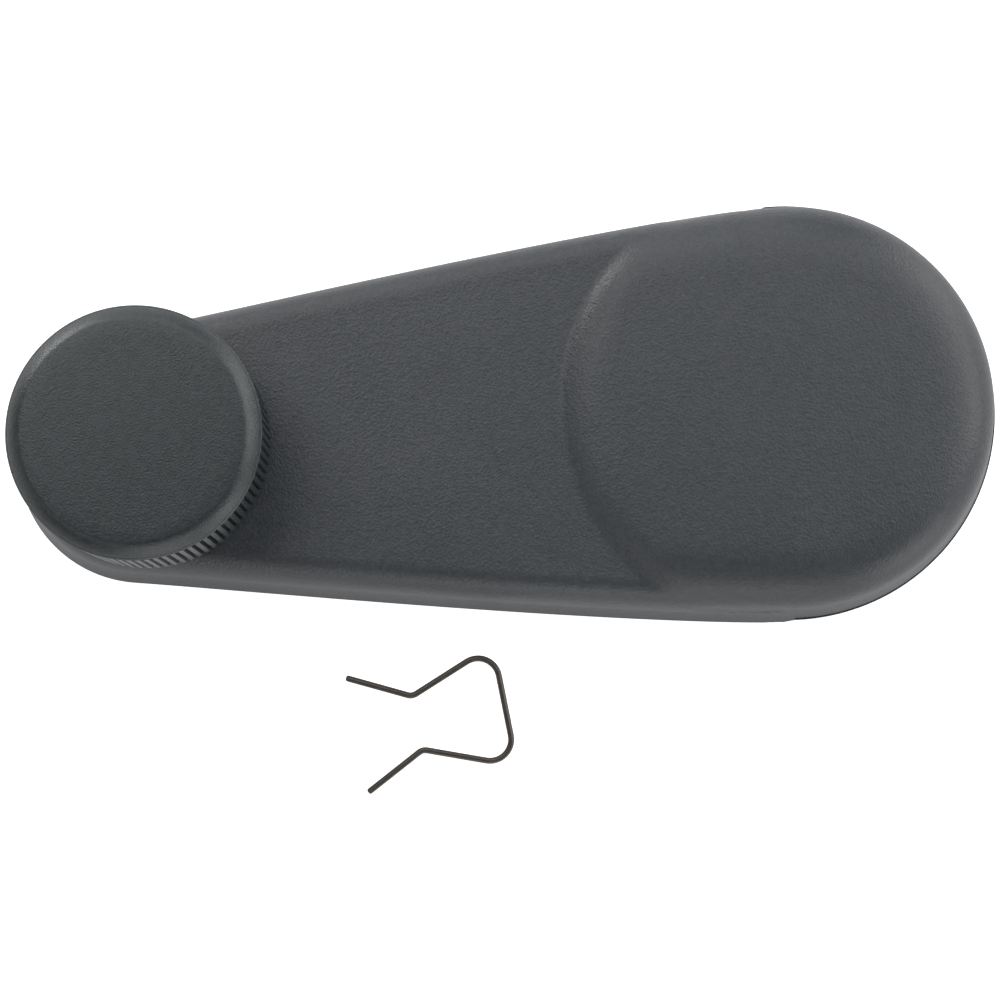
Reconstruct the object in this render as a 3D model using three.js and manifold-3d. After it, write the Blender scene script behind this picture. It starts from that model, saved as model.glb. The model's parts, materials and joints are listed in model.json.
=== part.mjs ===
// Car window winder handle: a crank arm with a raised hub, a ribbed turning knob and its loose wire clip.
// Millimetres, +Z up. The handle lies on its back. The origin is on the window shaft's axis, in the
// plane that the back lies on. The knob is towards -X.
import * as THREE from 'three';
import { mergeVertices } from 'three/addons/utils/BufferGeometryUtils.js';
import Module from 'manifold-3d';

const wasm = await Module();
wasm.setup();

// Arm in plan
const hubRadius = 28.95;
const endRadius = 17.5;
const endReach = 88.7;
const knobSetIn = 1.9;
const crank = endReach - knobSetIn;
const sideBulge = 0.85;
const bulgePeakShare = 0.36;

// Arm from the side
const armHeight = 11.8;
const armDrop = 0.8;
const wallHeight = 5;
const draftInset = 1;
const shoulderRun = 4.5;
const shoulderPower = 3;

// Raised round pad over the hub
const padStep = 2.2;
const padWallHeight = 7.6;
const padDraftInset = 1.5;
const padShoulderRun = 9.4;
const padFootRadius = 30.3;
const padOffset = 1.2;
const padSlopeRun = 4.2;
const padSeamOverlap = 0.3;

// Moulded cover
const coverWall = 2.2;
const coverRoof = 2.2;
const padPocketRadius = 19;
const screwPostRadius = 4;
const postBite = 0.2;

// Steel crank plate
const plateThickness = 2;

// Disc behind the hub
const discRadius = 28.7;
const discThickness = 2;
const discHoleRadius = 10.6;
const discEdgeRound = 0.8;
const pegCount = 3;
const pegRadius = 1.5;
const pegLength = 1.7;
const pegCircle = 17;

// Splined socket on the window shaft
const socketRadius = 7.8;
const socketFlangeRadius = 13;
const socketFlangeThickness = 1.6;
const socketInset = 0.2;
const socketTopWall = 1.1;
const splineRadius = 4.8;
const splineDepth = 0.45;
const splineCount = 20;
const slotLip = 0.6;
const slotHeight = 1.05;

// Rivets through the socket's flange
const rivetCount = 3;
const rivetCircle = 10.5;
const rivetRadius = 1.3;
const rivetHeadRadius = 2.1;
const rivetHeadHeight = 1;
const rivetShoulderShares = [0.8, 0.6];
const rivetCrownShare = 0.4;

// Countersunk screws that hold the cover on the plate
const screwRadius = 1.2;
const screwLength = 6;
const screwHeadRadius = 2.5;
const screwHeadHeight = 1.3;
const screwCrossLength = 2.8;
const screwCrossWidth = 0.6;
const screwCrossDepth = 0.8;

// Spindle that the knob turns on
const spindleRadius = 4;
const spindleShoulderRadius = 6.8;
const spindleProud = 0.6;
const spindleLength = 13.8;
const spindleTailRadius = 3.6;
const stakeRadius = 5.2;
const stakeHeight = 1.2;
const stakeFaceShare = 0.7;
const stakeBandShare = 0.4;
const spindleChamfer = 0.5;
const ringGrooveDepth = 0.7;
const ringGrooveWidth = 1;
const ringGrooveBack = 1.1;

// Washers and ring on the spindle
const thrustWasherRadius = 10.5;
const thrustWasherThickness = 0.9;
const waveWasherRadius = 7.2;
const waveWasherThickness = 0.4;
const waveHeight = 0.35;
const waveCount = 3;
const ringThickness = 0.8;
const ringRadius = 6.4;
const ringGapAngle = 0.9;

// Knob
const ribRadius = 16.4;
const ribCount = 90;
const ribDepth = 0.5;
const knobBaseRise = 0.3;
const knobWallHeight = 15.9;
const knobWall = 2.4;
const knobWebThickness = 2.4;
const bushWall = 2.1;
const bushFlangeRadius = 9;
const bushFlangeThickness = 1.2;
const bushLength = 9.4;
const bushSeatWall = 2.3;
const capThickness = 1.7;
const capEdgeRun = 2.8;
const capInset = 0.2;
const spigotLength = 2.5;
const spigotWall = 1.5;

// Wire clip, lying loose beside the arm
const wireRadius = 0.42;
const clipBackWidth = 16.8;
const clipWaistWidth = 7.4;
const clipMouthWidth = 15.9;
const clipWaistReach = 12.2;
const clipMouthReach = 20.6;
const clipBackBend = 2.9;
const clipWaistBend = 1.4;
const clipX = -41.58;
const clipY = -37.58;
const clipTurn = THREE.MathUtils.degToRad(187.4);

// Clearances
const seatGap = 0.3;
const fitGap = 0.2;
const runningGap = 0.08;
const endPlay = 0.1;
const overrun = 0.5;

// Colours and finishes, as in the photograph
const coverFinish = { color: 0x4b4f52, roughness: 0.55, metalness: 0 };
const knobFinish = { color: 0x3d4347, roughness: 0.5, metalness: 0 };
const discFinish = { color: 0x26282a, roughness: 0.5, metalness: 0 };
const steelFinish = { color: 0x8b8d8f, roughness: 0.4, metalness: 1 };
const zincFinish = { color: 0x9a9b9c, roughness: 0.35, metalness: 1 };
const bushFinish = { color: 0xd8d4c8, roughness: 0.4, metalness: 0 };
const wireFinish = { color: 0x4e4b48, roughness: 0.35, metalness: 1 };

// Heights that the sizes above lead to
const plateTop = discThickness + plateThickness;
const hubHeight = armHeight + padStep;
const rimHeight = discThickness + seatGap;
const coverInset = draftInset + coverWall;
const plateInset = coverInset + seatGap;
const socketTop = hubHeight - coverRoof - seatGap;
const shoulderTop = armHeight - armDrop + spindleProud;
const spindleTop = shoulderTop + spindleLength;
const ringGrooveTop = spindleTop - ringGrooveBack;
const washerTop = shoulderTop + thrustWasherThickness;
const bushBase = washerTop + endPlay;
const bushTop = bushBase + bushLength;
const knobBase = bushBase + knobBaseRise;
const knobWallTop = knobBase + knobWallHeight;
const clipLegHalf = clipWaistWidth / 2;
const bushOuterRadius = spindleRadius + runningGap + bushWall;

const part = new THREE.Group();

function addPiece(name, geometry, finish, parent = part) {
  geometry.computeVertexNormals();
  const mesh = new THREE.Mesh(geometry, new THREE.MeshStandardMaterial(finish));
  mesh.name = name;
  parent.add(mesh);
  return mesh;
}

// Solids for cutting and joining
function toSolid(geometry) {
  const bare = geometry.clone();
  bare.deleteAttribute('normal');
  bare.deleteAttribute('uv');
  const merged = mergeVertices(bare);
  return new wasm.Manifold(new wasm.Mesh({
    numProp: 3,
    vertProperties: new Float32Array(merged.attributes.position.array),
    triVerts: new Uint32Array(merged.index.array),
  }));
}

function toGeometry(solid) {
  const mesh = solid.getMesh();
  const geometry = new THREE.BufferGeometry();
  geometry.setAttribute('position', new THREE.BufferAttribute(mesh.vertProperties, mesh.numProp));
  geometry.setIndex(new THREE.BufferAttribute(mesh.triVerts, 1));
  return geometry;
}

// A stack of rings with as many points each, closed at both ends by a fan
function ringStack(rings) {
  const size = rings[0].length;
  const points = rings.flat();
  const faces = [];
  for (let level = 0; level < rings.length - 1; level += 1) {
    for (let i = 0; i < size; i += 1) {
      const low = level * size + i;
      const lowNext = level * size + (i + 1) % size;
      faces.push(low, lowNext, lowNext + size, low, lowNext + size, low + size);
    }
  }
  const closeEnd = (ring, start, up) => {
    const centre = new THREE.Vector3();
    ring.forEach((point) => centre.add(point));
    const hub = points.push(centre.divideScalar(size)) - 1;
    for (let i = 0; i < size; i += 1) {
      const here = start + i;
      const next = start + (i + 1) % size;
      faces.push(...(up ? [hub, here, next] : [hub, next, here]));
    }
  };
  closeEnd(rings[0], 0, false);
  closeEnd(rings[rings.length - 1], (rings.length - 1) * size, true);
  const geometry = new THREE.BufferGeometry().setFromPoints(points);
  geometry.setIndex(faces);
  return geometry;
}

// A turned solid about +Z: the profile is a list of [radius, height] that closes on the axis or on itself
function turned(profile, segments = 32) {
  const points = profile.map(([radius, height]) => new THREE.Vector2(radius, height));
  return new THREE.LatheGeometry(points, segments).rotateX(Math.PI / 2);
}

function rod(radius, low, high, segments = 24) {
  return turned([[0, low], [radius, low], [radius, high], [0, high]], segments);
}

function tube(inner, outer, low, high, segments = 36) {
  return turned([[inner, low], [outer, low], [outer, high], [inner, high], [inner, low]], segments);
}

function extruded(shape, low, high) {
  const options = { depth: high - low, bevelEnabled: false, curveSegments: 12 };
  return new THREE.ExtrudeGeometry(shape, options).translate(0, 0, low);
}

function circlePath(x, y, radius) {
  return new THREE.Path().absarc(x, y, radius, 0, 2 * Math.PI, true);
}

function polar(radius, angle) {
  return new THREE.Vector2(radius * Math.cos(angle), radius * Math.sin(angle));
}

// Arm in plan: the hub's arc, the small end's arc and two sides that bulge a little, all set in by inset
function armOutline(inset) {
  const big = hubRadius - inset;
  const small = endRadius - inset;
  const lean = Math.acos((big - small) / endReach);
  const wrap = Math.PI - lean;
  const arcPoints = (centreX, radius, from, to, steps) => {
    const list = [];
    for (let i = 0; i <= steps; i += 1) {
      const point = polar(radius, from + (to - from) * i / steps);
      list.push(point.setX(point.x + centreX));
    }
    return list;
  };
  const sidePoints = (from, to, normal, steps) => {
    const list = [];
    for (let i = 1; i < steps; i += 1) {
      const share = i / steps;
      const hubShare = from.x > to.x ? share : 1 - share;
      const swell = sideBulge * (hubShare / bulgePeakShare) ** (2 * bulgePeakShare)
        * ((1 - hubShare) / (1 - bulgePeakShare)) ** (2 - 2 * bulgePeakShare);
      list.push(from.clone().lerp(to, share).addScaledVector(normal, swell));
    }
    return list;
  };
  const hubArc = arcPoints(0, big, -wrap, wrap, 44);
  const endArc = arcPoints(-endReach, small, wrap, 2 * Math.PI - wrap, 28);
  const upperSide = sidePoints(hubArc[hubArc.length - 1], endArc[0], polar(1, wrap), 10);
  const lowerSide = sidePoints(endArc[endArc.length - 1], hubArc[0], polar(1, -wrap), 10);
  return [...hubArc, ...upperSide, ...endArc, ...lowerSide];
}

// The arm's top falls evenly from the hub to the knob
function heightAt(x, height) {
  return height * (1 + armDrop / armHeight * x / crank);
}

// Outside of the arm or the hub: a drafted wall, a rounded shoulder and a flat top at the given height
function armBody(height, wall, draft, run) {
  const rings = [armOutline(0).map((p) => new THREE.Vector3(p.x, p.y, 0))];
  const shoulderSteps = 5;
  for (let i = 0; i <= shoulderSteps; i += 1) {
    const left = Math.cos(Math.PI / 2 * i / shoulderSteps);
    const inset = draft + run * (1 - left);
    const level = wall + (height - wall) * Math.sqrt(1 - Math.max(left, 0) ** shoulderPower);
    rings.push(armOutline(inset).map((p) => new THREE.Vector3(p.x, p.y, heightAt(p.x, level))));
  }
  return toSolid(ringStack(rings));
}

// The pad's slope on the arm's side, as a cone that trims the taller hub body
function padCone(within) {
  const slope = padSlopeRun / padStep;
  const foot = padFootRadius + slope * armHeight - within;
  const peak = padFootRadius - slope * (padStep + overrun) - within;
  const cone = turned([[0, 0], [foot, 0], [peak, hubHeight + overrun], [0, hubHeight + overrun]], 72);
  return toSolid(cone.translate(-padOffset, 0, 0));
}

// Places of the five cover screws
const hubScrewCircle = hubRadius - coverInset - screwPostRadius + postBite;
const hubScrewTurnShare = 0.103;
const armScrewShare = 0.42;
const endScrewShare = 0.74;
const armScrewSpreadShare = 0.45;
const armScrewSpread = hubRadius * (1 - armScrewShare) + endRadius * armScrewShare;
const screwPlaces = [
  polar(hubScrewCircle, 2 * Math.PI * hubScrewTurnShare),
  polar(hubScrewCircle, -2 * Math.PI * hubScrewTurnShare),
  new THREE.Vector2(-crank * armScrewShare, armScrewSpread * armScrewSpreadShare),
  new THREE.Vector2(-crank * armScrewShare, -armScrewSpread * armScrewSpreadShare),
  new THREE.Vector2(-crank * endScrewShare, 0),
];

// Moulded cover: hollow, open at the back, with a post for each screw
function coverGeometry() {
  const ceiling = armHeight - coverRoof;
  const cavityRings = [-overrun, ceiling].map((level) => armOutline(coverInset).map(
    (p) => new THREE.Vector3(p.x, p.y, level > 0 ? heightAt(p.x, armHeight) - coverRoof : level),
  ));
  const pocketTop = hubHeight - coverRoof;
  const arm = armBody(armHeight, wallHeight, draftInset, shoulderRun);
  const hub = armBody(hubHeight, padWallHeight, padDraftInset, padShoulderRun);
  let cover = arm.subtract(padCone(padSeamOverlap)).add(hub.intersect(padCone(0)));
  cover = cover.subtract(toSolid(ringStack(cavityRings)));
  cover = cover.subtract(toSolid(rod(padPocketRadius, ceiling - overrun, pocketTop, 48)));
  for (const place of screwPlaces) {
    const roof = heightAt(place.x, armHeight) - coverRoof + overrun;
    const post = rod(screwPostRadius, plateTop, roof, 24).translate(place.x, place.y, 0);
    cover = cover.add(toSolid(post));
  }
  for (const place of screwPlaces) {
    const holeTop = discThickness + screwLength + fitGap;
    const hole = rod(screwRadius + fitGap, plateTop - overrun, holeTop, 16);
    cover = cover.subtract(toSolid(hole.translate(place.x, place.y, 0)));
  }
  cover = cover.subtract(toSolid(rod(discRadius + seatGap, -overrun, rimHeight, 72)));
  const spindleHole = rod(spindleShoulderRadius + seatGap, plateTop, hubHeight, 36);
  cover = cover.subtract(toSolid(spindleHole.translate(-crank, 0, 0)));
  return toGeometry(cover);
}

// Places on the rivets' and pegs' circles
function around(count, radius, start) {
  return Array.from({ length: count }, (_, i) => polar(radius, start + 2 * Math.PI * i / count));
}
const rivetPlaces = around(rivetCount, rivetCircle, Math.PI / 2);
const pegPlaces = around(pegCount, pegCircle, Math.PI / pegCount);

// Steel crank plate with its holes, countersunk from behind for the screws
function plateGeometry() {
  const shape = new THREE.Shape(armOutline(plateInset));
  shape.holes.push(circlePath(0, 0, socketRadius + fitGap));
  shape.holes.push(circlePath(-crank, 0, spindleTailRadius + fitGap));
  rivetPlaces.forEach((p) => shape.holes.push(circlePath(p.x, p.y, rivetRadius + fitGap)));
  pegPlaces.forEach((p) => shape.holes.push(circlePath(p.x, p.y, pegRadius + fitGap)));
  let plate = toSolid(extruded(shape, discThickness, plateTop));
  for (const place of screwPlaces) {
    const wide = screwHeadRadius + fitGap;
    const narrow = screwRadius + fitGap;
    const sinkTop = discThickness + screwHeadHeight;
    const low = discThickness - overrun;
    const high = plateTop + overrun;
    const sink = turned([[0, low], [wide, low], [wide, discThickness], [narrow, sinkTop], [narrow, high],
      [0, high]], 24);
    plate = plate.subtract(toSolid(sink.translate(place.x, place.y, 0)));
  }
  return toGeometry(plate);
}

// Disc behind the hub, with three pegs that locate it in the plate
function discGeometry() {
  const edge = [];
  const edgeSteps = 2;
  for (let i = 0; i <= edgeSteps; i += 1) {
    const turn = Math.PI / 2 * i / edgeSteps;
    edge.push([discRadius - discEdgeRound * (1 - Math.sin(turn)), discEdgeRound * (1 - Math.cos(turn))]);
  }
  let disc = toSolid(turned([[discHoleRadius, 0], ...edge, [discRadius, discThickness],
    [discHoleRadius, discThickness], [discHoleRadius, 0]], 72));
  for (const place of pegPlaces) {
    const peg = rod(pegRadius, discThickness - overrun, discThickness + pegLength, 16);
    disc = disc.add(toSolid(peg.translate(place.x, place.y, 0)));
  }
  return toGeometry(disc);
}

// Splined blind socket: flange on the plate, and two cross slots for the clip's legs
function socketGeometry() {
  const flangeTop = plateTop + socketFlangeThickness;
  let socket = toSolid(turned([[0, socketInset], [socketRadius, socketInset], [socketRadius, plateTop],
    [socketFlangeRadius, plateTop], [socketFlangeRadius, flangeTop], [socketRadius, flangeTop],
    [socketRadius, socketTop], [0, socketTop]]));
  const teeth = [];
  const toothShares = [[0, 1], [0.3, 1], [0.5, 0], [0.8, 0]];
  for (let i = 0; i < splineCount; i += 1) {
    for (const [turnShare, rootShare] of toothShares) {
      const radius = splineRadius - splineDepth * (1 - rootShare);
      teeth.push(polar(radius, 2 * Math.PI * (i + turnShare) / splineCount));
    }
  }
  const bore = extruded(new THREE.Shape(teeth), socketInset - overrun, socketTop - socketTopWall);
  socket = socket.subtract(toSolid(bore));
  const slotFloor = clipLegHalf - wireRadius;
  const slotDepth = socketRadius + overrun - slotFloor;
  const slotLow = socketInset + slotLip;
  for (const side of [-1, 1]) {
    const slot = new THREE.BoxGeometry(2 * socketRadius + 2 * overrun, slotDepth, slotHeight);
    slot.translate(0, side * (slotFloor + slotDepth / 2), slotLow + slotHeight / 2);
    socket = socket.subtract(toSolid(slot));
  }
  for (const place of rivetPlaces) {
    const hole = rod(rivetRadius + fitGap, plateTop - overrun, flangeTop + overrun, 20);
    socket = socket.subtract(toSolid(hole.translate(place.x, place.y, 0)));
  }
  return toGeometry(socket);
}

// Round-headed rivet, flush with the back of the plate
function rivetGeometry() {
  const flangeTop = plateTop + socketFlangeThickness;
  const headTop = flangeTop + rivetHeadHeight;
  const [shoulderShare, riseShare] = rivetShoulderShares;
  return turned([[0, discThickness], [rivetRadius, discThickness], [rivetRadius, flangeTop],
    [rivetHeadRadius, flangeTop], [shoulderShare * rivetHeadRadius, flangeTop + riseShare * rivetHeadHeight],
    [rivetCrownShare * rivetHeadRadius, headTop], [0, headTop]], 20);
}

// Countersunk screw, driven from behind, with a cross recess
function screwGeometry() {
  const sinkTop = discThickness + screwHeadHeight;
  const tip = discThickness + screwLength;
  let screw = toSolid(turned([[0, discThickness], [screwHeadRadius, discThickness], [screwRadius, sinkTop],
    [screwRadius, tip - screwRadius], [0, tip]], 20));
  const depth = screwCrossDepth + overrun;
  for (const turn of [0, Math.PI / 2]) {
    const bar = new THREE.BoxGeometry(screwCrossLength, screwCrossWidth, depth).rotateZ(turn);
    screw = screw.subtract(toSolid(bar.translate(0, 0, discThickness - overrun + depth / 2)));
  }
  return toGeometry(screw);
}

// Shouldered spindle, staked behind the plate, grooved near its free end
function spindleGeometry() {
  const grooveRadius = spindleRadius - ringGrooveDepth;
  const grooveLow = ringGrooveTop - ringGrooveWidth;
  const stakeBack = discThickness - stakeHeight;
  return turned([[0, stakeBack], [stakeFaceShare * stakeRadius, stakeBack],
    [stakeRadius, discThickness - stakeBandShare * stakeHeight], [stakeRadius, discThickness],
    [spindleTailRadius, discThickness], [spindleTailRadius, plateTop], [spindleShoulderRadius, plateTop],
    [spindleShoulderRadius, shoulderTop], [spindleRadius, shoulderTop], [spindleRadius, grooveLow],
    [grooveRadius, grooveLow], [grooveRadius, ringGrooveTop], [spindleRadius, ringGrooveTop],
    [spindleRadius, spindleTop - spindleChamfer], [spindleRadius - spindleChamfer, spindleTop],
    [0, spindleTop]]);
}

// Wavy spring washer that takes up the knob's play
function waveWasherGeometry() {
  const inner = spindleRadius + 2 * fitGap;
  const middle = (bushTop + ringGrooveTop - ringGrooveWidth) / 2;
  const steps = 36;
  const half = waveWasherThickness / 2;
  const section = [[inner, -half], [waveWasherRadius, -half], [waveWasherRadius, half], [inner, half]];
  const points = [];
  const faces = [];
  for (let i = 0; i < steps; i += 1) {
    const angle = 2 * Math.PI * i / steps;
    const lift = middle + waveHeight * Math.cos(waveCount * angle);
    for (const [radius, rise] of section) {
      const place = polar(radius, angle);
      points.push(new THREE.Vector3(place.x, place.y, lift + rise));
    }
    const here = 4 * i;
    const next = 4 * ((i + 1) % steps);
    for (let side = 0; side < 4; side += 1) {
      const turn = (side + 1) % 4;
      faces.push(here + side, next + turn, here + turn, here + side, next + side, next + turn);
    }
  }
  const geometry = new THREE.BufferGeometry().setFromPoints(points);
  geometry.setIndex(faces);
  return geometry;
}

// Open retaining ring in the spindle's groove
function retainingRingGeometry() {
  const inner = spindleRadius - ringGrooveDepth + fitGap;
  const low = ringGrooveTop - (ringGrooveWidth + ringThickness) / 2;
  const shape = new THREE.Shape();
  shape.absarc(0, 0, ringRadius, ringGapAngle / 2, 2 * Math.PI - ringGapAngle / 2, false);
  shape.absarc(0, 0, inner, 2 * Math.PI - ringGapAngle / 2, ringGapAngle / 2, true);
  shape.closePath();
  return extruded(shape, low, low + ringThickness);
}

// Knob's grip: a ribbed cup with a seat for its bush
function gripGeometry() {
  const outline = [];
  const ribShares = [[0, 0], [0.36, 0], [0.54, 1], [0.82, 1]];
  for (let i = 0; i < ribCount; i += 1) {
    for (const [turnShare, crestShare] of ribShares) {
      const radius = ribRadius - ribDepth * (1 - crestShare);
      outline.push(polar(radius, 2 * Math.PI * (i + turnShare) / ribCount));
    }
  }
  const webTop = knobBase + knobWebThickness;
  const seatRadius = bushOuterRadius + fitGap;
  const seatOuterRadius = seatRadius + bushSeatWall;
  const innerRadius = ribRadius - ribDepth - knobWall;
  const top = knobWallTop + overrun;
  let grip = toSolid(extruded(new THREE.Shape(outline), knobBase, knobWallTop));
  grip = grip.subtract(toSolid(tube(seatOuterRadius, innerRadius, webTop, top)));
  grip = grip.subtract(toSolid(rod(seatOuterRadius + overrun, bushTop, top, 36)));
  grip = grip.subtract(toSolid(rod(seatRadius, knobBase - overrun, bushTop + overrun, 36)));
  const flangeSeat = rod(bushFlangeRadius + fitGap, knobBase - overrun, bushBase + bushFlangeThickness, 36);
  grip = grip.subtract(toSolid(flangeSeat));
  return toGeometry(grip);
}

// Smooth cap with a rounded edge and a spigot inside the grip
function capGeometry() {
  const rim = ribRadius - capInset;
  const spigotRadius = ribRadius - ribDepth - knobWall - fitGap;
  const profile = [[0, knobWallTop], [spigotRadius - spigotWall, knobWallTop],
    [spigotRadius - spigotWall, knobWallTop - spigotLength], [spigotRadius, knobWallTop - spigotLength],
    [spigotRadius, knobWallTop]];
  const edgeSteps = 4;
  for (let i = 0; i <= edgeSteps; i += 1) {
    const turn = Math.PI / 2 * i / edgeSteps;
    profile.push([rim - capEdgeRun * (1 - Math.cos(turn)), knobWallTop + capThickness * Math.sin(turn)]);
  }
  profile.push([0, knobWallTop + capThickness]);
  return turned(profile, 60);
}

// Flanged bush between the grip and the spindle
function bushGeometry() {
  const bore = spindleRadius + runningGap;
  const flangeTop = bushBase + bushFlangeThickness;
  return turned([[bore, bushBase], [bushFlangeRadius, bushBase], [bushFlangeRadius, flangeTop],
    [bushOuterRadius, flangeTop], [bushOuterRadius, bushTop], [bore, bushTop], [bore, bushBase]]);
}

// A flat path through the corners, each rounded to its bend
function bentPath(corners, bends, steps) {
  const path = [corners[0]];
  for (let i = 1; i < corners.length - 1; i += 1) {
    const toLast = corners[i - 1].clone().sub(corners[i]).normalize();
    const toNext = corners[i + 1].clone().sub(corners[i]).normalize();
    const half = toLast.angleTo(toNext) / 2;
    const bend = bends[i - 1];
    const middle = toLast.clone().add(toNext).normalize();
    const centre = corners[i].clone().addScaledVector(middle, bend / Math.sin(half));
    const start = corners[i].clone().addScaledVector(toLast, bend / Math.tan(half)).sub(centre);
    const finish = corners[i].clone().addScaledVector(toNext, bend / Math.tan(half)).sub(centre);
    const sweep = Math.atan2(start.cross(finish), start.dot(finish));
    for (let k = 0; k <= steps; k += 1) {
      path.push(start.clone().rotateAround(new THREE.Vector2(), sweep * k / steps).add(centre));
    }
  }
  path.push(corners[corners.length - 1]);
  return path;
}

// Round wire along a flat path, with rounded ends
function wireGeometry(path, radius) {
  const sides = 8;
  const rings = [];
  const addRing = (place, direction, size) => {
    const across = new THREE.Vector2(-direction.y, direction.x);
    const ring = [];
    for (let i = 0; i < sides; i += 1) {
      const spot = polar(size, 2 * Math.PI * i / sides);
      ring.push(new THREE.Vector3(place.x + across.x * spot.x, place.y + across.y * spot.x, radius + spot.y));
    }
    rings.push(ring);
  };
  const endShares = [[0.92, 0.4], [0.6, 0.8]];
  const last = path.length - 1;
  const first = path[1].clone().sub(path[0]).normalize();
  const final = path[last].clone().sub(path[last - 1]).normalize();
  endShares.slice().reverse().forEach(([inShare, sizeShare]) => {
    addRing(path[0].clone().addScaledVector(first, radius * (1 - inShare)), first, radius * sizeShare);
  });
  rings.reverse();
  for (let i = 0; i <= last; i += 1) {
    const before = i > 0 ? path[i].clone().sub(path[i - 1]).normalize() : first;
    const after = i < last ? path[i + 1].clone().sub(path[i]).normalize() : final;
    const place = path[i].clone();
    if (i === 0) place.addScaledVector(first, radius);
    if (i === last) place.addScaledVector(final, -radius);
    addRing(place, before.add(after).normalize(), radius);
  }
  endShares.slice().reverse().forEach(([inShare, sizeShare]) => {
    addRing(path[last].clone().addScaledVector(final, -radius * (1 - inShare)), final, radius * sizeShare);
  });
  return ringStack(rings);
}

// Clip: straight back, legs that close to a waist and tips that open again
function clipGeometry() {
  const corners = [
    [clipMouthReach, clipMouthWidth / 2], [clipWaistReach, clipWaistWidth / 2], [0, clipBackWidth / 2],
    [0, -clipBackWidth / 2], [clipWaistReach, -clipWaistWidth / 2], [clipMouthReach, -clipMouthWidth / 2],
  ].map(([x, y]) => new THREE.Vector2(x, y));
  const bends = [clipWaistBend, clipBackBend, clipBackBend, clipWaistBend];
  return wireGeometry(bentPath(corners, bends, 6), wireRadius).rotateZ(clipTurn).translate(clipX, clipY, 0);
}

addPiece('arm_cover', coverGeometry(), coverFinish);
addPiece('crank_plate', plateGeometry(), steelFinish);
addPiece('hub_disc', discGeometry(), discFinish);
addPiece('splined_socket', socketGeometry(), zincFinish);
rivetPlaces.forEach((place, i) => {
  addPiece(`socket_rivet_${i + 1}`, rivetGeometry().translate(place.x, place.y, 0), steelFinish);
});
screwPlaces.forEach((place, i) => {
  addPiece(`cover_screw_${i + 1}`, screwGeometry().translate(place.x, place.y, 0), steelFinish);
});

const knobAxis = new THREE.Group();
knobAxis.position.x = -crank;
part.add(knobAxis);
addPiece('knob_spindle', spindleGeometry(), steelFinish, knobAxis);
const thrustWasher = tube(spindleRadius + fitGap, thrustWasherRadius, shoulderTop, washerTop);
addPiece('thrust_washer', thrustWasher, bushFinish, knobAxis);
addPiece('wave_washer', waveWasherGeometry(), steelFinish, knobAxis);
addPiece('retaining_ring', retainingRingGeometry(), steelFinish, knobAxis);
addPiece('knob_bush', bushGeometry(), bushFinish, knobAxis);
addPiece('knob_grip', gripGeometry(), knobFinish, knobAxis);
addPiece('knob_cap', capGeometry(), knobFinish, knobAxis);

addPiece('wire_clip', clipGeometry(), wireFinish);

export default part;
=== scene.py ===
# Car window winder handle: a tapered charcoal arm with a raised round hub, a ribbed turning knob at its
# small end, and the dark wire clip that holds it on its shaft, lying loose beside it.
import bmesh
import bpy
import json
import math
from mathutils import Matrix, Vector


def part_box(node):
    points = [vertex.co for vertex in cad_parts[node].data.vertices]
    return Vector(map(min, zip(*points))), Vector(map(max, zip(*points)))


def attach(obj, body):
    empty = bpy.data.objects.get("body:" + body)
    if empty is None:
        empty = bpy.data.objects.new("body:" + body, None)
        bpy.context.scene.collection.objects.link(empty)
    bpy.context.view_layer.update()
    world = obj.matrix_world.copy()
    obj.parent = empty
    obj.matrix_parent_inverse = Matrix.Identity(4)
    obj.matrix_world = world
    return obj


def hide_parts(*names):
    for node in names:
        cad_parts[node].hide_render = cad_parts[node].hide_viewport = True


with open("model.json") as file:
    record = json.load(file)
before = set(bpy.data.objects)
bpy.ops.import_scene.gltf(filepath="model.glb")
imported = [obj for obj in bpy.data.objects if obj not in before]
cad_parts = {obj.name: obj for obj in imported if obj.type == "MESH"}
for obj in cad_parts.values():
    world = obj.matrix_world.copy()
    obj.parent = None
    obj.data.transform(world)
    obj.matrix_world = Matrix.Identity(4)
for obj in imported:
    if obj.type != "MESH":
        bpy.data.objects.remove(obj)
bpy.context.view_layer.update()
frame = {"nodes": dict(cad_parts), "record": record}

# Camera. The picture is taken from above the middle of the arm with a long lens, a little towards the
# side that the clip lies on. Its place and turn suit the outlines of the arm and the knob.
MM = 0.001
camera_place = Vector((-46.69, -42.11, 375.5)) * MM
camera_turn = {"X": -0.088, "Y": 0.011, "Z": 0.069}
picture_pixels = 1000
focal_pixels = 2731.6
sensor_width = 36.0
nearest_seen = 10 * MM
farthest_seen = 10.0

lens = bpy.data.cameras.new("camera")
lens.sensor_width = sensor_width
lens.lens = focal_pixels / picture_pixels * sensor_width
lens.clip_start = nearest_seen
lens.clip_end = farthest_seen
camera = bpy.data.objects.new("camera", lens)
turn = Matrix.Identity(3)
for axis, angle in camera_turn.items():
    turn = turn @ Matrix.Rotation(angle, 3, axis)
camera.matrix_world = Matrix.Translation(camera_place) @ turn.transposed().to_4x4()
bpy.context.scene.collection.objects.link(camera)
bpy.context.scene.camera = camera
bpy.context.scene.view_settings.view_transform = "Standard"


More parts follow.
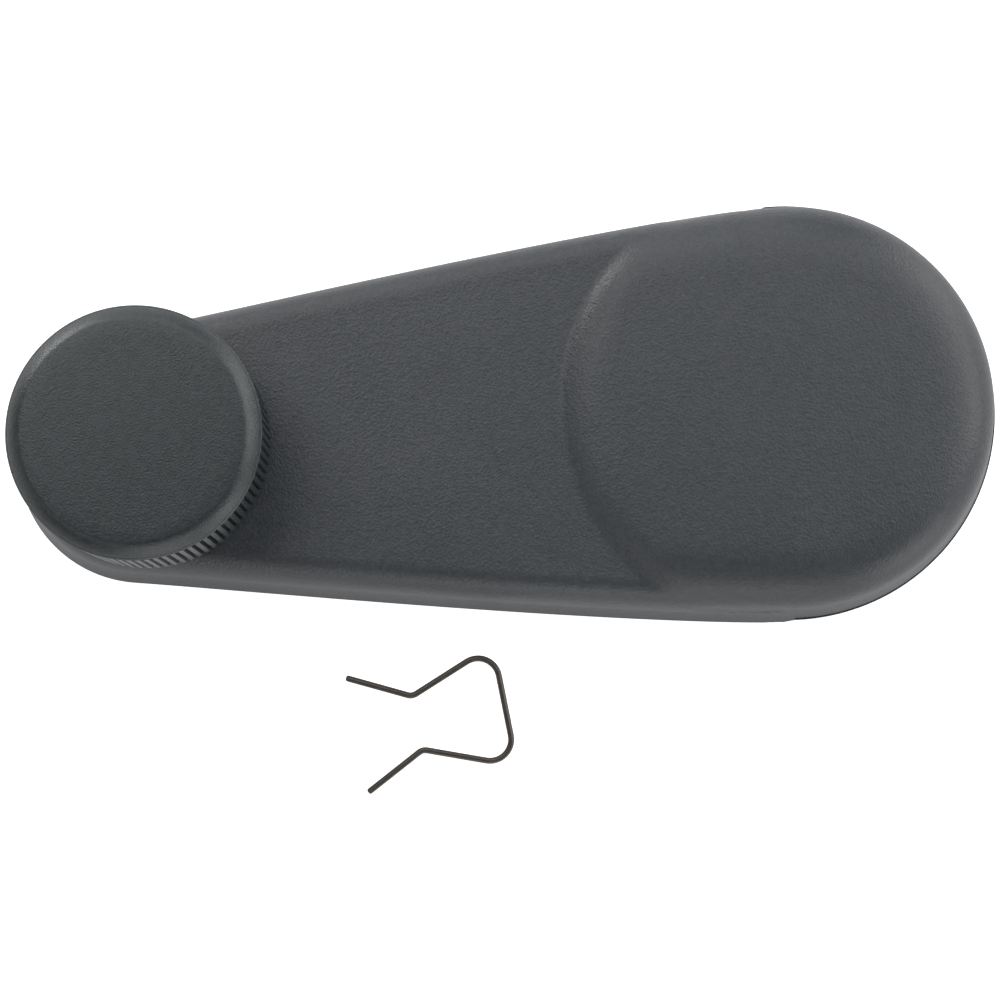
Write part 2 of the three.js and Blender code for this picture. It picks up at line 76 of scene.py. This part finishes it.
# Arm cover. One hollow charcoal moulding: a tapered arm with a drafted wall and a rounded shoulder, and
# a round pad raised over the hub. Its outside has a fine leather-like mould grain, and screws from
# behind hold it on its plate.
knob_low, knob_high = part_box("knob_grip")
crank = -(knob_low.x + knob_high.x) / 2
hub_radius = 28.95 * MM
end_radius = 17.5 * MM
end_reach = 88.7 * MM
side_lean = (hub_radius - end_radius) / end_reach
side_bulge = 0.85 * MM
bulge_peak = 0.36
arm_height = 11.8 * MM
arm_drop = 0.8 * MM
wall_height = 5.0 * MM
draft_inset = 1.0 * MM
shoulder_run = 4.5 * MM
shoulder_power = 3
shoulder_steps = 12
outline_points = 288
side_cuts = 40
spindle_shoulder_radius = 6.8 * MM
cover_wall = 2.2 * MM
cover_roof = 2.2 * MM

pad_step = 2.2 * MM
pad_height = arm_height + pad_step
pad_foot_radius = 30.4 * MM
pad_offset = 1.2 * MM
pad_slope_run = 7.0 * MM
pad_least_run = 0.7 * MM
pad_foot_fillet = 0.04
pad_slope_power = 3
pad_wall_height = 7.6 * MM
pad_wall_inset = 1.5 * MM
pad_shoulder_run = 9.4 * MM
crown = 0.18 * MM
crown_reach = 13.0 * MM
pad_flat_radius = 6.0 * MM
face_rings = 12
net_pitch = 0.5 * MM
net_overrun = 3.0 * MM
net_near_end = 4.0 * MM
least_upward = 0.02
level_slack = 0.01 * MM

plate_low, plate_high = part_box("crank_plate")
disc_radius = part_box("hub_disc")[1].y
seat_gap = 0.3 * MM
snug_gap = 0.05 * MM
seat_top = plate_low.z + seat_gap
seat_start = 2.6 * MM
seat_slant = 1.2
seat_points = 192
disc_draw = 0.45 * MM

seam_degrees = 35
merge_gap = 0.001 * MM
cut_snap = 0.0001 * MM

pebble_size = 0.34 * MM
grain_size = 0.2 * MM
speckle_size = 0.35 * MM
mottle_size = 0.9 * MM
cloud_size = 9.0 * MM
grain_depth = 0.055 * MM
charcoal_dark = (46, 50, 54)
charcoal_light = (59, 62, 65)


class Socket:
    """One output of a shader node, with arithmetic that adds Math nodes."""

    def __init__(self, look, output):
        self.look = look
        self.output = output

    def math(self, operation, first, second):
        return self.look.node("Math", {"operation": operation}, {0: first, 1: second})

    def __add__(self, other):
        return self.math("ADD", self, other)

    def __mul__(self, other):
        return self.math("MULTIPLY", self, other)

    __radd__ = __add__
    __rmul__ = __mul__


class Look:
    """The nodes of a material, or of the room. One method adds any node, the others name the patterns."""

    def __init__(self, name, room=False):
        self.holder = bpy.data.worlds.new(name) if room else bpy.data.materials.new(name)
        self.holder.use_nodes = True
        self.tree = self.holder.node_tree
        self.tree.nodes.clear()

    def node(self, kind, settings=None, inputs=None, output=0):
        made = self.tree.nodes.new("ShaderNode" + kind)
        for name, value in (settings or {}).items():
            if name == "stops":
                ramp = made.color_ramp.elements
                for i, (place, level) in enumerate(value):
                    stop = ramp[i] if i < 2 else ramp.new(place)
                    stop.position = place
                    stop.color = (level, level, level, 1)
            else:
                setattr(made, name, value)
        for name, value in (inputs or {}).items():
            if isinstance(value, Socket):
                self.tree.links.new(value.output, made.inputs[name])
            else:
                made.inputs[name].default_value = value
        return Socket(self, made.outputs[output]) if made.outputs else None

    def place(self):
        return self.node("TexCoord", output="Object")

    def noise(self, size, detail=2.0):
        inputs = {"Vector": self.place(), "Scale": 1 / size, "Detail": detail}
        return self.node("TexNoise", None, inputs)

    def cells(self, size, softness=0.6):
        inputs = {"Vector": self.place(), "Scale": 1 / size, "Smoothness": softness}
        return self.node("TexVoronoi", {"feature": "SMOOTH_F1"}, inputs)

    def ramp(self, factor, stops):
        return self.node("ValToRGB", {"stops": stops}, {"Fac": factor})

    def mixed(self, factor, first, second):
        # A Mix node of colours takes them at sockets 6 and 7, and gives the mixed colour at 2
        colours = {0: factor, 6: shader_colour(first), 7: shader_colour(second)}
        return self.node("Mix", {"data_type": "RGBA"}, colours, output=2)

    def bump(self, height, distance, strength=1.0):
        inputs = {"Height": height, "Distance": distance, "Strength": strength}
        return self.node("Bump", None, inputs)

    def finish(self, **inputs):
        named = {key.replace("_", " "): value for key, value in inputs.items()}
        shader = self.node("BsdfPrincipled", None, named)
        self.node("OutputMaterial", None, {"Surface": shader})
        return self.holder


def shader_colour(levels):
    """A colour as it looks, in levels from 0 to 255, as the linear colour that a shader takes."""
    return (*[((level / 255 + 0.055) / 1.055) ** 2.4 for level in levels], 1)


def make_piece(name, shape, look, body, slot, *nodes):
    """Makes a piece of a finished bmesh, with smooth faces and sharp seams, riding on its body."""
    bmesh.ops.remove_doubles(shape, verts=shape.verts[:], dist=merge_gap)
    mesh = bpy.data.meshes.new(name)
    shape.to_mesh(mesh)
    shape.free()
    mesh.shade_smooth()
    mesh.set_sharp_from_angle(angle=math.radians(seam_degrees))
    mesh.materials.append(look)
    piece = bpy.data.objects.new(name, mesh)
    bpy.context.scene.collection.objects.link(piece)
    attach(piece, body)
    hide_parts(*nodes)


def side_swell(x, near, far):
    """How far the arm's side stands out of the straight, between the ends of its two arcs."""
    share = min(max((near - x) / (near - far), 0), 1)
    rising = (share / bulge_peak) ** (2 * bulge_peak)
    return side_bulge * rising * ((1 - share) / (1 - bulge_peak)) ** (2 - 2 * bulge_peak)


def arm_face(shape, inset):
    """The arm in plan: a circle round the hub whose far arc is shrunk and moved out to the small end."""
    made = bmesh.ops.create_circle(shape, cap_ends=True, segments=outline_points, radius=hub_radius - inset)
    for vert in made["verts"]:
        if vert.co.x < -(hub_radius - inset) * side_lean:
            vert.co *= (end_radius - inset) / (hub_radius - inset)
            vert.co.x -= end_reach
    sides = [edge for edge in shape.edges if edge.is_boundary and edge.calc_length() > end_reach / 2]
    ends = [vert.co.x for edge in sides for vert in edge.verts]
    near, far = max(ends), min(ends)
    cut = bmesh.ops.bisect_edges(shape, edges=sides, cuts=side_cuts)
    for vert in cut["geom_split"]:
        if isinstance(vert, bmesh.types.BMVert):
            vert.co.y += math.copysign(side_swell(vert.co.x, near, far), vert.co.y)
    face = shape.faces[:][-1]
    if face.normal.z < 0:
        face.normal_flip()
    return face


def raise_face(shape, face, rise, inset):
    """Raises a face and draws it in, leaving a slanted wall round it."""
    bmesh.ops.inset_region(shape, faces=[face], thickness=inset, depth=rise, use_boundary=True,
                           use_even_offset=True)


def side_height(inward, wall, inset, run, top):
    """The height of a drafted wall with a rounded shoulder over it, at a distance in from its foot."""
    if inward < inset:
        return wall * max(inward, 0) / inset
    left = max(1 - (inward - inset) / run, 0)
    return wall + (top - wall) * math.sqrt(1 - left ** shoulder_power)


def cut_away(shape, cutter):
    """Cuts one closed bmesh out of another."""
    objects = []
    for part_shape in (shape, cutter):
        mesh = bpy.data.meshes.new("cutting")
        part_shape.to_mesh(mesh)
        part_shape.free()
        thing = bpy.data.objects.new("cutting", mesh)
        bpy.context.scene.collection.objects.link(thing)
        objects.append(thing)
    work, tool = objects
    step = work.modifiers.new("cut", "BOOLEAN")
    step.operation = "DIFFERENCE"
    step.solver = "EXACT"
    step.object = tool
    result = bmesh.new()
    result.from_object(work, bpy.context.evaluated_depsgraph_get())
    for thing in objects:
        mesh = thing.data
        bpy.data.objects.remove(thing)
        bpy.data.meshes.remove(mesh)
    return result


def rod(radius, low, high, x=0.0, segments=96):
    """A closed round bar along +Z."""
    bar = bmesh.new()
    place = Matrix.Translation((x, 0, (low + high) / 2))
    bmesh.ops.create_cone(bar, cap_ends=True, segments=segments, radius1=radius, radius2=radius,
                          depth=high - low, matrix=place)
    return bar


cover = bmesh.new()
outer = arm_face(cover, 0)
raise_face(cover, outer, wall_height, draft_inset)
last_run = 0
last_rise = 0
for step in range(1, shoulder_steps + 1):
    bend = math.pi / 2 * step / shoulder_steps
    run = shoulder_run * (1 - math.cos(bend))
    rise = (arm_height - wall_height) * math.sqrt(1 - max(math.cos(bend), 0) ** shoulder_power)
    raise_face(cover, outer, rise - last_rise, run - last_run)
    last_run, last_rise = run, rise
for _ in range(face_rings):
    raise_face(cover, outer, 0, (crown_reach - shoulder_run) / face_rings)

# The hollow behind, closed to the outside by the rim that the arm stands on
hollow = bmesh.new()
roof = arm_face(hollow, draft_inset + cover_wall)
raise_face(hollow, roof, arm_height - arm_drop - cover_roof, merge_gap)
bmesh.ops.reverse_faces(hollow, faces=hollow.faces[:])
hollow_mesh = bpy.data.meshes.new("hollow")
hollow.to_mesh(hollow_mesh)
hollow.free()
cover.from_mesh(hollow_mesh)
bpy.data.meshes.remove(hollow_mesh)
bmesh.ops.bridge_loops(cover, edges=[edge for edge in cover.edges if edge.is_boundary])
bmesh.ops.recalc_face_normals(cover, faces=cover.faces[:])

# The disc's seat, snug on the arm's side. Away from the arm it is wider, and shows the disc's edge.
snug_radius = disc_radius - disc_draw + snug_gap
cover = cut_away(cover, rod(snug_radius, -seat_gap, seat_top, segments=seat_points))
seat = rod(disc_radius + seat_gap, -seat_gap, seat_top, segments=seat_points)
whole = [*seat.verts, *seat.edges, *seat.faces]
split = bmesh.ops.bisect_plane(seat, geom=whole, dist=cut_snap, plane_co=(-seat_start, 0, 0),
                               plane_no=(-1, 0, seat_slant), clear_outer=True)
open_edges = [edge for edge in split["geom_cut"] if isinstance(edge, bmesh.types.BMEdge)]
bmesh.ops.contextual_create(seat, geom=open_edges)
bmesh.ops.recalc_face_normals(seat, faces=seat.faces[:])
cover = cut_away(cover, seat)

# The hole for the shoulder of the knob's spindle
cover = cut_away(cover, rod(spindle_shoulder_radius + seat_gap, plate_high.z, arm_height * 2, -crank))

# A net of cuts where the pad's slope runs
far_cuts = int((pad_foot_radius + net_overrun) / net_pitch)
near_cuts = round(net_near_end / net_pitch)
for axis, first, last in ((0, -far_cuts, -near_cuts), (1, -far_cuts, far_cuts)):
    for count in range(first, last + 1):
        point = Vector()
        point[axis] = (count + 0.5) * net_pitch
        facing = Vector()
        facing[axis] = 1
        near = [face for face in cover.faces if len(face.verts) > outline_points
                or face.normal.z > least_upward and face.calc_center_median().x > -crank / 2]
        corners = {vert for face in near for vert in face.verts}
        sides = {edge for face in near for edge in face.edges}
        bmesh.ops.bisect_plane(cover, geom=[*near, *(corners | sides)], dist=cut_snap, plane_co=point,
                               plane_no=facing)

# The pad's slope, the crown of both faces and the arm's fall towards the knob
for vert in cover.verts:
    spot = vert.co
    outward = vert.normal.z > least_upward or spot.z > arm_height - level_slack
    distance = math.hypot(spot.x + pad_offset, spot.y)
    slope_run = max(-pad_slope_run * (spot.x + pad_offset) / max(distance, merge_gap), pad_least_run)
    share = min(max((pad_foot_radius - distance) / slope_run, 0), 1)
    if outward:
        share = math.hypot(share, pad_foot_fillet) - pad_foot_fillet
        share = 1 - (1 - min(share, 1)) ** pad_slope_power
        inward = hub_radius - math.hypot(spot.x, spot.y)
        if spot.x < (inward - hub_radius) * side_lean:
            inward = hub_radius - abs(spot.y) * math.sqrt(1 - side_lean ** 2) + spot.x * side_lean
            side_start = (inward - hub_radius) * side_lean
            inward += side_swell(spot.x, side_start, -end_reach - end_radius * side_lean)
        pad_side = side_height(inward, pad_wall_height, pad_wall_inset, pad_shoulder_run, pad_height)
        arm_side = side_height(inward, wall_height, draft_inset, shoulder_run, arm_height)
        spot.z += share * (pad_side - arm_side)
        arm_sink = crown * (1 - min(max(inward - draft_inset - shoulder_run, 0) / crown_reach, 1)) ** 2
        pad_sink = crown * (max(math.hypot(spot.x, spot.y) - pad_flat_radius, 0) / crown_reach) ** 2
        spot.z *= 1 - (arm_sink + share * (pad_sink - arm_sink)) / arm_height
        spot.z *= 1 + arm_drop / arm_height * spot.x / crank

arm_plastic = Look("arm_plastic")
pebbles = arm_plastic.cells(pebble_size)
fine = arm_plastic.noise(grain_size, 3)
cloud = arm_plastic.noise(cloud_size)
speckle = arm_plastic.noise(speckle_size)
mottle = arm_plastic.noise(mottle_size)
tone = arm_plastic.ramp(speckle * 0.5 + mottle * 0.35 + cloud * 0.15, [(0.36, 0), (0.64, 1)])
arm_look = arm_plastic.finish(
    Base_Color=arm_plastic.mixed(tone, charcoal_dark, charcoal_light),
    Roughness=0.36 + fine * 0.12,
    Normal=arm_plastic.bump(pebbles * 0.8 + fine * 0.3, grain_depth),
)
make_piece("arm_cover_moulding", cover, arm_look, "arm", "arm_plastic", "arm_cover")


# Knob grip. The knob's ribbed wall, moulded in dark charcoal plastic together with its seat for the
# bush. It has ninety fine ribs, whose grooves run out just under the cap.
knob_centre = Vector((-crank, 0, 0))
rib_radius = (knob_high.x - knob_low.x) / 2
rib_count = 90
rib_points = 12
rib_depth = 0.65 * MM
rib_crest = 0.2
rib_run_out = 0.15 * MM
rib_foot = 0.25 * MM
top_edge_run = 2.2 * MM
top_edge_drop = 1.8 * MM
top_edge_power = 1.6
top_dome = 0.15 * MM
cap_low, cap_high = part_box("knob_cap")
edge_foot = cap_high.z - top_dome - top_edge_drop
grip_inner_radius = 13.5 * MM
web_thickness = 2.4 * MM
web_top = knob_low.z + web_thickness
bush_low, bush_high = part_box("knob_bush")
bush_flange_thickness = 1.2 * MM
bush_flange_top = bush_low.z + bush_flange_thickness
bush_seat_radius = 6.5 * MM
bush_seat_outer_radius = 8.8 * MM
flange_gap = 0.2 * MM
flange_seat = (bush_high.x - bush_low.x) / 2 + flange_gap

knob_grain_size = 0.25 * MM
knob_speckle_size = 0.4 * MM
knob_mottle_size = 1.0 * MM
knob_dark = (18, 26, 29)
knob_light = (33, 41, 44)


def rib_cut(angle):
    """How deep the groove is at an angle, as a share of its full depth: flat crests, rounded grooves."""
    place = (angle / (2 * math.pi) * rib_count) % 1
    return max(math.cos((place - 0.5) * 2 * math.pi) - rib_crest, 0) / (1 - rib_crest)


def grow_rings(shape, centre, segments, rings):
    """Draws a ring of points along a section: each step sets its radius, height and depth of groove."""
    first = bmesh.ops.create_circle(shape, segments=segments, radius=1)["verts"]
    loops = [first]
    edges = shape.edges[:]
    for _ in rings[1:]:
        grown = bmesh.ops.extrude_edge_only(shape, edges=edges)["geom"]
        loops.append([v for v in grown if isinstance(v, bmesh.types.BMVert)])
        edges = [e for e in grown if isinstance(e, bmesh.types.BMEdge) and e.is_boundary]
    for loop, (radius, height, groove) in zip(loops, rings):
        for vert in loop:
            angle = math.atan2(vert.co.y, vert.co.x)
            reach = radius - groove * rib_cut(angle)
            vert.co = centre + Vector((reach * math.cos(angle), reach * math.sin(angle), height))
    bmesh.ops.bridge_loops(shape, edges=[e for e in shape.edges if e.is_boundary])
    bmesh.ops.recalc_face_normals(shape, faces=shape.faces[:])


def edge_radius(height):
    """The knob's radius at a height on its rounded top edge, which the grip and the cap share."""
    up = min(max((height - edge_foot) / top_edge_drop, 0), 1)
    return rib_radius - top_edge_run * (1 - (1 - up) ** (1 / top_edge_power))


grip = bmesh.new()
edge_middle = (edge_foot + knob_high.z) / 2
grow_rings(grip, knob_centre, rib_count * rib_points, [
    (flange_seat, knob_low.z, 0),
    (rib_radius - rib_foot, knob_low.z, rib_depth),
    (rib_radius, knob_low.z + rib_foot, rib_depth),
    (rib_radius, edge_foot - rib_run_out, rib_depth),
    (rib_radius, edge_foot, 0),
    (edge_radius(edge_middle), edge_middle, 0),
    (edge_radius(knob_high.z), knob_high.z, 0),
    (grip_inner_radius, knob_high.z, 0),
    (grip_inner_radius, web_top, 0),
    (bush_seat_outer_radius, web_top, 0),
    (bush_seat_outer_radius, bush_high.z, 0),
    (bush_seat_radius, bush_high.z, 0),
    (bush_seat_radius, bush_flange_top, 0),
    (flange_seat, bush_flange_top, 0),
])

knob_plastic = Look("knob_plastic")
knob_fine = knob_plastic.noise(knob_grain_size, 3)
knob_speckle = knob_plastic.noise(knob_speckle_size)
knob_mottle = knob_plastic.noise(knob_mottle_size)
knob_tone = knob_plastic.ramp(knob_speckle * 0.5 + knob_mottle * 0.5, [(0.36, 0), (0.64, 1)])
knob_look = knob_plastic.finish(
    Base_Color=knob_plastic.mixed(knob_tone, knob_dark, knob_light),
    Roughness=0.33 + knob_fine * 0.12,
    Specular_IOR_Level=0.65,
    Normal=knob_plastic.bump(knob_fine, grain_depth),
)
make_piece("knob_ribbed_grip", grip, knob_look, "knob", "knob_plastic", "knob_grip")


# Knob cap. A smooth lid with a rounded edge, moulded in the same plastic as the grip, and held in it by
# the round spigot underneath.
cap_edge_steps = 12
cap_dome_steps = 8
cap_seam = 0.04 * MM
cap_face_radius = rib_radius - top_edge_run
seam_share = (1 - (knob_high.z - edge_foot) / top_edge_drop) ** (1 / top_edge_power)
spigot_radius = 13.3 * MM
spigot_wall = 1.5 * MM
turned_steps = 180


def turned(profile, centre, steps=turned_steps):
    """A turned piece: its section, as (radius, height) points, spun once round an upright axis."""
    shape = bmesh.new()
    verts = [shape.verts.new(centre + Vector((radius, 0, height))) for radius, height in profile]
    pairs = zip(verts, verts[1:])
    edges = [shape.edges.new(pair) for pair in pairs]
    bmesh.ops.spin(shape, geom=[*verts, *edges], cent=centre, axis=(0, 0, 1), angle=2 * math.pi,
                   steps=steps, use_merge=True)
    bmesh.ops.remove_doubles(shape, verts=shape.verts[:], dist=merge_gap)
    bmesh.ops.recalc_face_normals(shape, faces=shape.faces[:])
    return shape


cap_profile = [
    (0, knob_high.z),
    (spigot_radius - spigot_wall, knob_high.z),
    (spigot_radius - spigot_wall, cap_low.z),
    (spigot_radius, cap_low.z),
    (spigot_radius, knob_high.z),
    (edge_radius(knob_high.z) - cap_seam, knob_high.z),
]
for step in range(1, cap_edge_steps + 1):
    share = seam_share * (1 - step / cap_edge_steps)
    height = edge_foot + top_edge_drop * (1 - share ** top_edge_power)
    cap_profile.append((edge_radius(height), height))
for step in range(1, cap_dome_steps + 1):
    share = 1 - step / cap_dome_steps
    cap_profile.append((cap_face_radius * share, cap_high.z - top_dome * share ** 2))
make_piece("knob_lid", turned(cap_profile, knob_centre), knob_look, "knob", "knob_plastic", "knob_cap")


# Disc behind the hub. A plain black plastic washer between the arm and the door, with a rounded edge.
# It shows as a thin dark lip on the side away from the knob, and is drawn in on the arm's side.
disc_hole_radius = 10.6 * MM
disc_edge_round = 0.8 * MM
disc_edge_steps = 6
disc_top = plate_low.z
draw_start = 1.8 * MM
scuff_size = 0.6 * MM
scuff_depth = 0.01 * MM
black_dark = (28, 29, 31)
black_light = (40, 41, 43)

disc_profile = [(disc_hole_radius, 0)]
for step in range(disc_edge_steps + 1):
    bend = math.pi / 2 * step / disc_edge_steps
    inset = disc_edge_round * (1 - math.sin(bend))
    disc_profile.append((disc_radius - inset, disc_edge_round * (1 - math.cos(bend))))
disc_profile += [(disc_radius, disc_top), (disc_hole_radius, disc_top), (disc_hole_radius, 0)]

black_plastic = Look("black_plastic")
scuffs = black_plastic.noise(scuff_size, 4)
disc_look = black_plastic.finish(
    Base_Color=black_plastic.mixed(scuffs, black_dark, black_light),
    Roughness=0.42 + scuffs * 0.2,
    Normal=black_plastic.bump(scuffs, scuff_depth, 0.5),
)
back_disc = turned(disc_profile, Vector())
for vert in back_disc.verts:
    if vert.co.x < -draw_start and vert.co.xy.length > disc_radius / 2:
        vert.co.xy *= 1 - disc_draw / disc_radius
make_piece("hub_back_disc", back_disc, disc_look, "arm", "disc_plastic", "hub_disc")


# Wire clip. Dark oiled spring wire, bent from one length: a straight back, legs that close to a waist
# on the shaft's groove, and tips that open again to lead it on.
wire_radius = 0.42 * MM
clip_back = 16.8 * MM
clip_waist = 7.4 * MM
clip_mouth = 15.9 * MM
clip_waist_reach = 12.2 * MM
clip_mouth_reach = 20.6 * MM
clip_back_bend = 2.9 * MM
clip_waist_bend = 1.4 * MM
clip_place = Vector((-41.58, -37.58, 0.42)) * MM
clip_turn = math.radians(187.4)
wire_sides = 20
bend_steps = 12
tip_round = wire_radius * 0.7
tip_steps = 4
wire_merge_gap = 0.0005 * MM
oil_patch = 0.8 * MM
oil_depth = 0.01 * MM
wire_dark = (70, 66, 62)
wire_light = (92, 88, 84)

corners = [Vector(spot) for spot in (
    (clip_mouth_reach, clip_mouth / 2, 0),
    (clip_waist_reach, clip_waist / 2, 0),
    (0, clip_back / 2, 0),
    (0, -clip_back / 2, 0),
    (clip_waist_reach, -clip_waist / 2, 0),
    (clip_mouth_reach, -clip_mouth / 2, 0),
)]
bends = [clip_waist_bend, clip_back_bend, clip_back_bend, clip_waist_bend]

wire = bmesh.new()
heading = (corners[1] - corners[0]).normalized()
facing = heading.to_track_quat("Z", "Y").to_matrix().to_4x4()
start = Matrix.Translation(corners[0]) @ facing
bmesh.ops.create_circle(wire, cap_ends=True, segments=wire_sides, radius=wire_radius, matrix=start)
end_edges = wire.edges[:]


def draw_on(edges, move):
    """Draws the open end of the wire along a straight, and gives the new end."""
    grown = bmesh.ops.extrude_edge_only(wire, edges=edges)["geom"]
    verts = [v for v in grown if isinstance(v, bmesh.types.BMVert)]
    bmesh.ops.translate(wire, verts=verts, vec=move)
    return [e for e in grown if isinstance(e, bmesh.types.BMEdge) and e.is_boundary]


at = corners[0]
for corner, following, bend in zip(corners[1:], corners[2:], bends):
    ahead = (corner - at).normalized()
    after = (following - corner).normalized()
    turn_angle = ahead.xy.angle_signed(after.xy)
    back_off = bend * math.tan(abs(turn_angle) / 2)
    end_edges = draw_on(end_edges, corner - ahead * back_off - at)
    side = Vector((-ahead.y, ahead.x, 0)) * math.copysign(bend, -turn_angle)
    centre = corner - ahead * back_off + side
    made = bmesh.ops.spin(wire, geom=end_edges, cent=centre, axis=(0, 0, 1), angle=-turn_angle,
                          steps=bend_steps)
    end_edges = [e for e in made["geom_last"] if isinstance(e, bmesh.types.BMEdge)]
    at = corner + after * back_off
end_edges = draw_on(end_edges, corners[-1] - at)
bmesh.ops.contextual_create(wire, geom=end_edges)
bmesh.ops.remove_doubles(wire, verts=wire.verts[:], dist=wire_merge_gap)
tips = [e for f in wire.faces if len(f.verts) == wire_sides for e in f.edges]
bmesh.ops.bevel(wire, geom=tips, offset=tip_round, offset_type="OFFSET", segments=tip_steps,
                profile=0.5, affect="EDGES", material=-1)
bmesh.ops.recalc_face_normals(wire, faces=wire.faces[:])
bmesh.ops.rotate(wire, verts=wire.verts[:], cent=Vector(), matrix=Matrix.Rotation(clip_turn, 3, "Z"))
bmesh.ops.translate(wire, verts=wire.verts[:], vec=clip_place)

spring_wire = Look("spring_wire")
oil = spring_wire.noise(oil_patch, 3)
wire_look = spring_wire.finish(
    Base_Color=spring_wire.mixed(oil, wire_dark, wire_light),
    Metallic=0.9,
    Roughness=0.3 + oil * 0.2,
    Normal=spring_wire.bump(oil, oil_depth, 0.4),
)
make_piece("clip_wire", wire, wire_look, "clip", "spring_wire", "wire_clip")


# Steel inside and behind: the crank plate, its rivets and screws, the knob's spindle, and the wavy
# washer and the ring on it, all zinc plated, with a fine brushed grain and a clouded sheen.
plating_cloud = 5.0 * MM
brushing_size = 0.15 * MM
brushing_depth = 0.004 * MM
steel_dull = (132, 130, 122)
steel_bright = (158, 158, 154)


def dress(slot, look):
    """Gives a material to the CAD nodes of one slot, whose shapes stay as they are."""
    for sub_part in frame["record"]["subparts"]:
        if sub_part["material_slot"] == slot:
            node = frame["nodes"][sub_part["node"]]
            node.data.materials.clear()
            node.data.materials.append(look)


plated_steel = Look("plated_steel")
clouds = plated_steel.noise(plating_cloud, 4)
brushing = plated_steel.noise(brushing_size)
steel_look = plated_steel.finish(
    Base_Color=plated_steel.mixed(clouds, steel_dull, steel_bright),
    Metallic=1.0,
    Roughness=0.3 + clouds * 0.15 + brushing * 0.1,
    Normal=plated_steel.bump(brushing, brushing_depth, 0.4),
)
dress("steel", steel_look)


# Splined socket. A light-alloy casting with a blind serrated bore and two cross slots for the clip,
# riveted to the plate by its flange. Its skin is dull and finely pitted.
pit_size = 0.4 * MM
pit_depth = 0.02 * MM
alloy_dull = (140, 141, 142)
alloy_bright = (168, 169, 170)

cast_alloy = Look("cast_alloy")
pits = cast_alloy.noise(pit_size, 4)
alloy_look = cast_alloy.finish(
    Base_Color=cast_alloy.mixed(pits, alloy_dull, alloy_bright),
    Metallic=1.0,
    Roughness=0.36 + pits * 0.2,
    Normal=cast_alloy.bump(pits, pit_depth, 0.5),
)
dress("zinc", alloy_look)


# Knob's bush and the washer under it. Natural bearing plastic, slightly waxy, moulded: the bush is
# pressed into the grip, and the washer lies loose round the spindle.
wax_patch = 1.5 * MM
wax_depth = 0.01 * MM
cream_dark = (206, 202, 188)
cream_light = (222, 218, 206)

bearing_plastic = Look("bearing_plastic")
wax = bearing_plastic.noise(wax_patch, 3)
bearing_look = bearing_plastic.finish(
    Base_Color=bearing_plastic.mixed(wax, cream_dark, cream_light),
    Roughness=0.35 + wax * 0.15,
    Normal=bearing_plastic.bump(wax, wax_depth, 0.3),
)
dress("bush_plastic", bearing_look)


# Floor. A plain white table top. What the camera sees of it is white apart from the soft shadow, and
# the gloss of the handle mirrors a little of it.
floor_reach = 3.0
paper_shade = 0.8
mirrored_glow = 0.25
seen_glow = 0.85

floor_shape = bmesh.new()
bmesh.ops.create_grid(floor_shape, x_segments=1, y_segments=1, size=floor_reach)
floor_mesh = bpy.data.meshes.new("floor")
floor_shape.to_mesh(floor_mesh)
floor_shape.free()
table_top = Look("table_top")
matt_white = table_top.node("BsdfDiffuse", None, {"Color": (paper_shade, paper_shade, paper_shade, 1)})
camera_ray = table_top.node("LightPath", output="Is Camera Ray")
mirrored_ray = table_top.node("LightPath", output="Is Glossy Ray")
through_ray = table_top.node("LightPath", output="Is Transmission Ray")
glow_level = mirrored_ray * mirrored_glow + through_ray * seen_glow + camera_ray * seen_glow
glow = table_top.node("Emission", None, {"Strength": glow_level})
lit = table_top.node("AddShader", None, {0: matt_white, 1: glow})
table_top.node("OutputMaterial", None, {"Surface": lit})
floor_mesh.materials.append(table_top.holder)
floor = bpy.data.objects.new("floor", floor_mesh)
bpy.context.scene.collection.objects.link(floor)


# Light. A dark room that is white to the eye, with soft square lamps on a dome round the table. Each
# lamp has its azimuth and elevation in degrees, its width in metres and its watts.
room = Look("room", room=True)
seen = room.node("LightPath", output="Is Camera Ray") + room.node("LightPath", output="Is Transmission Ray")
backdrop = room.node("Background", None, {"Color": (1, 1, 1, 1), "Strength": seen})
room.node("OutputWorld", None, {"Surface": backdrop})
bpy.context.scene.world = room.holder

lamp_distance = 0.7
lamps = {
    "key": (135, 62, 0.35, 1.1),
    "back": (90, 55, 0.35, 0.5),
    "back mid": (90, 35, 0.35, 0.6),
    "over right": (30, 62, 0.3, 0.5),
    "right": (0, 46, 0.3, 0.55),
    "right mid": (35, 36, 0.3, 0.85),
    "right low": (0, 22, 0.3, 1.2),
    "left mid": (185, 38, 0.35, 0.15),
    "front mid": (270, 36, 0.35, 0.4),
    "front left mid": (225, 40, 0.3, 0.4),
    "low right": (35, 12, 0.35, 1.2),
    "low back": (90, 16, 0.4, 0.55),
    "low back left": (130, 16, 0.3, 2.4),
    "low left": (190, 16, 0.35, 0.3),
    "front": (270, 12, 0.4, 1.1),
    "front right": (315, 12, 0.35, 1.2),
}
for name, (azimuth, elevation, width, watts) in lamps.items():
    lamp = bpy.data.lights.new(name, "AREA")
    lamp.size = width
    lamp.energy = watts
    around, up = math.radians(azimuth), math.radians(elevation)
    towards = Vector((math.cos(around) * math.cos(up), math.sin(around) * math.cos(up), math.sin(up)))
    holder = bpy.data.objects.new(name, lamp)
    holder.location = Vector((-crank / 2, 0, arm_height)) + towards * lamp_distance
    holder.rotation_euler = towards.to_track_quat("Z", "Y").to_euler()
    bpy.context.scene.collection.objects.link(holder)
